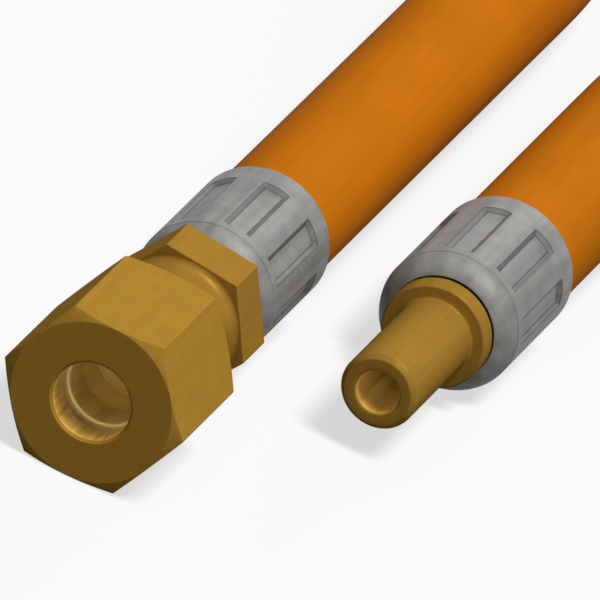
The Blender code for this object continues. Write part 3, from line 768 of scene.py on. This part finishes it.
def hose_samples(length, step):
    """Distances along the hose, dense where it leaves a ferrule or its bore changes."""
    gripped = FERRULE_LENGTH - HOSE_START
    dense_end = gripped + HOSE_DENSE_BULGES * HOSE_BULGE
    near = np.linspace(gripped - TAIL_INSET, dense_end, HOSE_DENSE_SAMPLES)
    start = np.concatenate(([0.0, HOSE_FIRST_SAMPLE], near))
    free = length - 2.0 * near[-1]
    middle = near[-1] + np.linspace(0.0, free, round(free / step) + 1)[1:-1]
    return np.concatenate((start, middle, (length - start)[::-1]))


def straight_run(end, ferrule_low, run_end_y):
    """Points along one straight end of the hose, from inside its ferrule to the loop."""
    rear_y = ferrule_low.y + FERRULE_LENGTH
    places = [ferrule_low.y + HOSE_START]
    for step in range(RUN_POINTS):
        places.append(rear_y + (run_end_y - rear_y) * step / (RUN_POINTS - 1))
    return [(end.x, y, end.z) for y in places]


def hose(material):
    """The rubber hose, a tube with its bore, narrower inside the ferrules."""
    nut_run = straight_run(NUT_END, NUT_FERRULE_LOW, NUT_RUN_END_Y)
    spigot_run = straight_run(SPIGOT_END, SPIGOT_FERRULE_LOW, SPIGOT_RUN_END_Y)
    loop = [(x * MM, y * MM, HOSE_RADIUS + lift * MM) for x, y, lift in LOOP_MM]
    along, line = smooth_curve(nut_run + loop + spigot_run[::-1], HOSE_STEP)
    rest = np.minimum(along, along[-1] - along)
    gripped = FERRULE_LENGTH - HOSE_START
    swell = smooth_step(rest, gripped - HOSE_SWELL_MARGIN, gripped + HOSE_BULGE)
    outer = HOSE_GRIP_RADIUS + (HOSE_RADIUS - HOSE_GRIP_RADIUS) * swell
    narrow = smooth_step(rest, gripped - TAIL_INSET + HOSE_SWELL_MARGIN, gripped)
    inner = HOSE_TAIL_BORE_RADIUS + (HOSE_BORE_RADIUS - HOSE_TAIL_BORE_RADIUS) * narrow
    tangents = np.gradient(line, axis=0)
    tangents /= np.linalg.norm(tangents, axis=1)[:, None]
    across = np.array((0.0, 0.0, 1.0))
    places = np.zeros((2, len(line), HOSE_SIDES, 3))
    turn = math.tau * np.arange(HOSE_SIDES) / HOSE_SIDES
    for index, (point, tangent) in enumerate(zip(line, tangents)):
        across = across - tangent * (across @ tangent)
        across /= np.linalg.norm(across)
        beside = np.cross(tangent, across)
        circle = np.cos(turn)[:, None] * across + np.sin(turn)[:, None] * beside
        places[0, index] = point + outer[index] * circle
        places[1, index] = point + inner[index] * circle
    item = new_mesh_object("hose_tube", places.reshape(-1, 3), tube_faces(len(line)))
    add_tube_uvs(item.data, along, len(line))
    dress(item, material, "hose_assembly", "orange_rubber", "hose")
    return item


def tube_faces(rings):
    """Faces of a tube: outside, bore and both ends."""
    faces = []
    bore = rings * HOSE_SIDES
    for side in range(HOSE_SIDES):
        other = (side + 1) % HOSE_SIDES
        for ring in range(rings - 1):
            here = ring * HOSE_SIDES
            there = here + HOSE_SIDES
            faces.append((here + side, here + other, there + other, there + side))
            faces.append((
                bore + here + side, bore + there + side, bore + there + other, bore + here + other
            ))
        last = (rings - 1) * HOSE_SIDES
        faces.append((side, bore + side, bore + other, other))
        faces.append((last + side, last + other, bore + last + other, bore + last + side))
    return np.array(faces)


def add_tube_uvs(mesh, along, rings):
    """UVs in metres: round the hose and along it."""
    layer = mesh.uv_layers.new(name="UVMap")
    loops = np.zeros(len(mesh.loops), dtype=np.int64)
    mesh.loops.foreach_get("vertex_index", loops)
    side = loops % HOSE_SIDES
    ring = (loops // HOSE_SIDES) % rings
    corners = side.reshape(-1, 4)
    wraps = (corners.max(axis=1) - corners.min(axis=1)) > HOSE_SIDES / 2
    corners[wraps] = np.where(corners[wraps] == 0, HOSE_SIDES, corners[wraps])
    around = corners.reshape(-1) / HOSE_SIDES * math.tau * HOSE_RADIUS
    layer.data.foreach_set("uv", np.stack((around, along[ring]), axis=-1).ravel())


# Materials


def add_node(tree, kind, inputs=None, **settings):
    """Add a node. inputs maps a socket's name or number to a value or to an output."""
    node = tree.nodes.new(kind)
    for name, value in settings.items():
        setattr(node, name, value)
    for key, value in (inputs or {}).items():
        if isinstance(value, bpy.types.NodeSocket):
            tree.links.new(value, node.inputs[key])
        else:
            node.inputs[key].default_value = value
    return node


def calculate(tree, operation, *values):
    """The output of a Math node."""
    inputs = dict(enumerate(values))
    return add_node(tree, "ShaderNodeMath", inputs, operation=operation).outputs[0]


def remap(tree, value, source, target):
    """The output of a Map Range node, smooth from one range to the other."""
    inputs = dict(enumerate((value, *source, *target)))
    node = add_node(tree, "ShaderNodeMapRange", inputs, interpolation_type="SMOOTHSTEP")
    return node.outputs[0]


def spread(middle, reach):
    """A range, from reach below its middle to reach above it."""
    return middle - reach, middle + reach


def noise(tree, vector, pattern):
    """The value of a noise texture whose pattern is its scale, detail and roughness."""
    scale, detail, roughness = pattern
    inputs = {"Vector": vector, "Scale": scale, "Detail": detail, "Roughness": roughness}
    return add_node(tree, "ShaderNodeTexNoise", inputs).outputs[0]


def combine(tree, x, y, z):
    """A vector of three values."""
    return add_node(tree, "ShaderNodeCombineXYZ", {0: x, 1: y, 2: z}).outputs[0]


def scale_vector(tree, vector, amount):
    """A vector or a colour times a value."""
    inputs = {0: vector, 3: amount}
    return add_node(tree, "ShaderNodeVectorMath", inputs, operation="SCALE").outputs[0]


def new_material(name, metallic, specular):
    """A material with a Principled shader, and its tree and shader."""
    material = bpy.data.materials.new(name)
    material.use_nodes = True
    shader = material.node_tree.nodes["Principled BSDF"]
    shader.inputs["Metallic"].default_value = metallic
    shader.inputs["Specular IOR Level"].default_value = specular
    return material, material.node_tree, shader


def link_surface(tree, shader, color, roughness, height, bump):
    """Link the shader's colour and roughness, and a bump of the given strength and height."""
    strength, distance = bump
    inputs = {"Strength": strength, "Distance": distance, "Height": height}
    normal = add_node(tree, "ShaderNodeBump", inputs).outputs[0]
    tree.links.new(color, shader.inputs["Base Color"])
    tree.links.new(roughness, shader.inputs["Roughness"])
    tree.links.new(normal, shader.inputs["Normal"])


def mix_values(tree, share, first, second):
    """The output of a Mix node between two values."""
    inputs = {0: share, 2: first, 3: second}
    return add_node(tree, "ShaderNodeMix", inputs, data_type="FLOAT").outputs[0]


def mix_colors(tree, share, first, second):
    """The output of a Mix node between two colours, each a value or an output."""
    inputs = {0: share}
    for key, color in ((6, first), (7, second)):
        inputs[key] = color if isinstance(color, bpy.types.NodeSocket) else (*color, 1.0)
    return add_node(tree, "ShaderNodeMix", inputs, data_type="RGBA").outputs[2]


def axis_coordinates(tree, end):
    """Millimetres from the fitting's axis: X, along, Z and the radius."""
    place = add_node(tree, "ShaderNodeTexCoord").outputs["Object"]
    inputs = {0: place, 1: tuple(end)}
    moved = add_node(tree, "ShaderNodeVectorMath", inputs, operation="SUBTRACT").outputs[0]
    scaled = scale_vector(tree, moved, 1.0 / MM)
    x, along, z = add_node(tree, "ShaderNodeSeparateXYZ", {0: scaled}).outputs
    flat = combine(tree, x, 0.0, z)
    radius = add_node(tree, "ShaderNodeVectorMath", {0: flat}, operation="LENGTH").outputs[1]
    return x, along, z, radius


def on_side(tree):
    """1 where the surface runs along the fitting, and 0 where it is an end face."""
    normal = add_node(tree, "ShaderNodeNewGeometry").outputs["Normal"]
    lengthwise = add_node(tree, "ShaderNodeSeparateXYZ", {0: normal}).outputs[1]
    return remap(tree, calculate(tree, "ABSOLUTE", lengthwise), END_FACE, (1.0, 0.0))


def brass(name, end, color, flats_radius, bore_radius, bore_roughness, streak_and_sheen_tone):
    """Machined brass: turning marks, drawn streaks on the flats, streaks that are partly painted
    reflection, and a bore painted brighter as painted light.
    """
    material, tree, shader = new_material(name, BRASS_METALLIC, specular=0.0)
    shader.inputs["Specular Tint"].default_value = BRASS_EDGE_TINT
    x, along, z, radius = axis_coordinates(tree, end)
    rings = noise(tree, combine(tree, radius, along, 0.0), TURNED_RINGS)
    fine_rings = noise(tree, combine(tree, radius, along, FINE_RING_SHIFT), FINE_RINGS)
    slow_along = calculate(tree, "MULTIPLY", along, BRASS_STRETCH)
    streaks = noise(tree, combine(tree, x, slow_along, z), BRASS_STREAKS)
    clouds = noise(tree, combine(tree, x, along, z), BRASS_CLOUDS)
    past_bevel = calculate(tree, "GREATER_THAN", radius, flats_radius / MM)
    on_flats = calculate(tree, "MULTIPLY", on_side(tree), past_bevel)
    marks = mix_values(tree, on_flats, fine_rings, streaks)
    cloud_tone = remap(tree, clouds, NOISE_NARROW, spread(0.0, BRASS_CLOUD_TONE))
    ring_tone = remap(tree, rings, NOISE_NARROW, spread(0.0, BRASS_RING_TONE))
    # lengthwise streaks in the colour all over: drawn grain on the flats, painted reflection
    # streaks on the round faces
    tone = remap(tree, streaks, NOISE_MEDIUM, spread(1.0, streak_and_sheen_tone))
    tone = calculate(tree, "ADD", tone, cloud_tone)
    tone = calculate(tree, "ADD", tone, ring_tone)
    # painted light: a bore's colour is brighter than the brass, more so deeper in, standing in
    # for light in its shade
    in_bore = calculate(tree, "LESS_THAN", radius, bore_radius / MM)
    depth = remap(tree, along, BORE_BLEND, (0.0, 1.0))
    bore_painted_light = mix_colors(tree, depth, MOUTH_BORE_PAINTED_LIGHT, DEEP_BORE_PAINTED_LIGHT)
    tint = mix_colors(tree, in_bore, color, bore_painted_light)
    metallic = remap(tree, in_bore, (0.0, 1.0), (BRASS_METALLIC, 1.0))
    tree.links.new(metallic, shader.inputs["Metallic"])
    satin = remap(tree, marks, NOISE_WIDE, BRASS_ROUGHNESS)
    bore_range = spread(bore_roughness, BORE_ROUGHNESS_SHARE * bore_roughness)
    rough_bore = remap(tree, streaks, NOISE_NARROW, bore_range)
    roughness = mix_values(tree, in_bore, satin, rough_bore)
    link_surface(tree, shader, scale_vector(tree, tint, tone), roughness, marks, BRASS_BUMP)
    return material


def plated_steel(name, end, sheen_shift):
    """Zinc plated steel: matt grey, with soft lengthwise streaks that are partly painted
    reflection, and clouds.
    """
    material, tree, shader = new_material(name, PLATING_METALLIC, PLATING_SPECULAR)
    x, along, z, _ = axis_coordinates(tree, end)
    slow_along = calculate(tree, "MULTIPLY_ADD", along, PLATING_STRETCH, sheen_shift)
    streaks = noise(tree, combine(tree, x, slow_along, z), PLATING_STREAKS)
    clouds = noise(tree, combine(tree, x, along, z), PLATING_CLOUDS)
    grain = noise(tree, combine(tree, x, along, z), PLATING_GRAIN)
    # lengthwise streaks in the colour, partly painted reflection
    streak_and_sheen_tone = remap(tree, streaks, NOISE_NARROW, PLATING_STREAK_AND_SHEEN_TONES)
    cloud_tone = remap(tree, clouds, NOISE_NARROW, PLATING_CLOUD_TONES)
    # painted shade on the pockets' walls and along their feet, and a darker line along their rims
    pressed = add_node(tree, "ShaderNodeAttribute", attribute_name="pressed").outputs["Fac"]
    pocket_painted_shading = calculate(tree, "MULTIPLY_ADD", pressed, -POCKET_PAINTED_DARKENING, 1.0)
    tone = calculate(tree, "ADD", streak_and_sheen_tone, cloud_tone)
    tone = calculate(tree, "MULTIPLY", tone, pocket_painted_shading)
    roughness = remap(tree, grain, NOISE_WIDE, PLATING_ROUGHNESS)
    color = scale_vector(tree, PLATED_STEEL, tone)
    link_surface(tree, shader, color, roughness, grain, PLATING_BUMP)
    return material


def orange_rubber(name):
    """Matt rubber: faint extrusion lines along the hose and a fine grain."""
    material, tree, shader = new_material(name, metallic=0.0, specular=RUBBER_SPECULAR)
    uv = add_node(tree, "ShaderNodeTexCoord").outputs["UV"]
    scaled = scale_vector(tree, uv, 1.0 / MM)
    around, along, _ = add_node(tree, "ShaderNodeSeparateXYZ", {0: scaled}).outputs
    slow_along = calculate(tree, "MULTIPLY", along, RUBBER_STRETCH)
    lines = noise(tree, combine(tree, around, slow_along, 0.0), RUBBER_LINES)
    clouds = noise(tree, combine(tree, around, along, RUBBER_CLOUD_SHIFT), RUBBER_CLOUDS)
    grain = noise(tree, combine(tree, around, along, 0.0), RUBBER_GRAIN)
    line_tone = remap(tree, lines, NOISE_NARROW, spread(1.0, RUBBER_LINE_TONE))
    cloud_tone = remap(tree, clouds, NOISE_NARROW, spread(0.0, RUBBER_CLOUD_TONE))
    color = scale_vector(tree, ORANGE_RUBBER, calculate(tree, "ADD", line_tone, cloud_tone))
    roughness = remap(tree, grain, NOISE_WIDE, RUBBER_ROUGHNESS)
    height = calculate(tree, "ADD", grain, lines)
    link_surface(tree, shader, color, roughness, height, RUBBER_BUMP)
    return material


# Stage, light and camera


def seen_directly(tree):
    """1 for rays from the camera, a reflection or glass, and 0 for the light on things."""
    path = add_node(tree, "ShaderNodeLightPath").outputs
    total = calculate(tree, "ADD", path["Is Camera Ray"], path["Is Glossy Ray"])
    total = calculate(tree, "ADD", total, path["Is Transmission Ray"])
    return calculate(tree, "MINIMUM", total, 1.0)


def floor():
    """The pale floor under the part."""
    mesh = bpy.data.meshes.new("floor")
    half = FLOOR_SIZE / 2.0
    corners = [(-half, -half, 0.0), (half, -half, 0.0), (half, half, 0.0), (-half, half, 0.0)]
    mesh.from_pydata(corners, [], [(0, 1, 2, 3)])
    item = bpy.data.objects.new("floor", mesh)
    bpy.context.scene.collection.objects.link(item)
    material = bpy.data.materials.new("floor")
    material.use_nodes = True
    tree = material.node_tree
    tree.nodes.clear()
    seen = seen_directly(tree)
    level = remap(tree, seen, (0.0, 1.0), (FLOOR_BOUNCE, FLOOR_COLOR))
    color = combine(tree, level, level, level)
    surface = add_node(tree, "ShaderNodeBsdfDiffuse", {"Color": color}).outputs[0]
    glow = add_node(tree, "ShaderNodeEmission").outputs[0]
    share = calculate(tree, "MULTIPLY", seen, FLOOR_GLOW)
    mixed = add_node(tree, "ShaderNodeMixShader", {0: share, 1: surface, 2: glow})
    output = add_node(tree, "ShaderNodeOutputMaterial")
    tree.links.new(mixed.outputs[0], output.inputs["Surface"])
    mesh.materials.append(material)


def world():
    """A white background, which lights the object at a lower level."""
    scene_world = bpy.data.worlds.new("studio")
    scene_world.use_nodes = True
    scene_world.cycles.sampling_method = "NONE"
    tree = scene_world.node_tree
    background = tree.nodes["Background"]
    background.inputs["Color"].default_value = (1.0, 1.0, 1.0, 1.0)
    level = remap(tree, seen_directly(tree), (0.0, 1.0), (AMBIENT_LEVEL, 1.0))
    tree.links.new(level, background.inputs["Strength"])
    bpy.context.scene.world = scene_world


def soft_light(name, direction, level):
    """A square soft light that shines on the origin from the given direction."""
    light = bpy.data.lights.new(name, "AREA")
    light.shape = "SQUARE"
    light.size = LIGHT_SIZE
    # watts at which a white surface that faces the light has the given brightness
    light.energy = level * math.pi**2 * LIGHT_DISTANCE**2
    item = bpy.data.objects.new(name, light)
    unit = direction.normalized()
    item.location = unit * LIGHT_DISTANCE
    item.rotation_euler = unit.to_track_quat("Z", "Y").to_euler()
    bpy.context.scene.collection.objects.link(item)


def camera():
    """The camera, at the photograph's viewing angle and from far away."""
    towards = Vector((
        math.sin(CAMERA_AZIMUTH) * math.cos(CAMERA_ELEVATION),
        -math.cos(CAMERA_AZIMUTH) * math.cos(CAMERA_ELEVATION),
        math.sin(CAMERA_ELEVATION),
    ))
    level = Vector((math.cos(CAMERA_AZIMUTH), math.sin(CAMERA_AZIMUTH), 0.0))
    upright = towards.cross(level)
    right = level * math.cos(CAMERA_ROLL) + upright * math.sin(CAMERA_ROLL)
    up = upright * math.cos(CAMERA_ROLL) - level * math.sin(CAMERA_ROLL)
    middle = NUT_END + Vector((0.0, VIEW_DEPTH, 0.0))
    aim = NUT_END + right * VIEW_RIGHT + up * VIEW_UP
    aim += towards * (middle - aim).dot(towards)
    lens = bpy.data.cameras.new("camera")
    lens.lens = CAMERA_LENS
    lens.sensor_width = CAMERA_SENSOR
    lens.clip_end = CAMERA_REACH
    item = bpy.data.objects.new("camera", lens)
    rotation = Matrix((right, up, towards)).transposed().to_4x4()
    distance = VIEW_WIDTH * CAMERA_LENS / CAMERA_SENSOR
    item.matrix_world = Matrix.Translation(aim + towards * distance) @ rotation
    bpy.context.scene.collection.objects.link(item)
    bpy.context.scene.camera = item


def main():
    """Build the camera, the seven pieces and the studio."""
    scene = bpy.context.scene
    scene.view_settings.view_transform = "Standard"
    camera()
    hose(orange_rubber("orange_rubber"))
    union_nut(brass(
        "nut_brass", NUT_END, BRASS, NUT_FACE_RADIUS, NUT_BORE_RADIUS + SURFACE_MARGIN,
        NUT_BORE_ROUGHNESS, BRASS_STREAK_AND_SHEEN_TONE,
    ))
    # the whole ring counts as bore, so all of it has the bores' painted light
    cutting_ring(brass(
        "ring_brass", NUT_END, BRASS, PAST_THE_PIECE, PAST_THE_PIECE,
        NUT_BORE_ROUGHNESS, BRASS_STREAK_AND_SHEEN_TONE,
    ))
    connector_body(brass(
        "body_brass", NUT_END, BODY_BRASS, BODY_HEX_FLAT_RADIUS - SURFACE_MARGIN,
        CONE_MOUTH_RADIUS, BODY_BORE_ROUGHNESS, BRASS_STREAK_AND_SHEEN_TONE,
    ))
    pipe_spigot(brass(
        "spigot_brass", SPIGOT_END, BODY_BRASS, PAST_THE_PIECE, GAS_BORE_RADIUS + SURFACE_MARGIN,
        SPIGOT_BORE_ROUGHNESS, SPIGOT_STREAK_AND_SHEEN_TONE,
    ))
    ferrule(
        "ferrule_crimped_nut_end", "ferrule_nut_end", NUT_END, NUT_FERRULE_LOW,
        NUT_END_POCKET_ANGLE, plated_steel("steel_nut_end", NUT_END, NUT_END_SHEEN_SHIFT),
    )
    ferrule(
        "ferrule_crimped_spigot_end", "ferrule_spigot_end", SPIGOT_END, SPIGOT_FERRULE_LOW,
        SPIGOT_END_POCKET_ANGLE,
        plated_steel("steel_spigot_end", SPIGOT_END, SPIGOT_END_SHEEN_SHIFT),
    )
    floor()
    world()
    soft_light("key", KEY_DIRECTION, KEY_LEVEL)
    soft_light("fill", FILL_DIRECTION, FILL_LEVEL)


main()
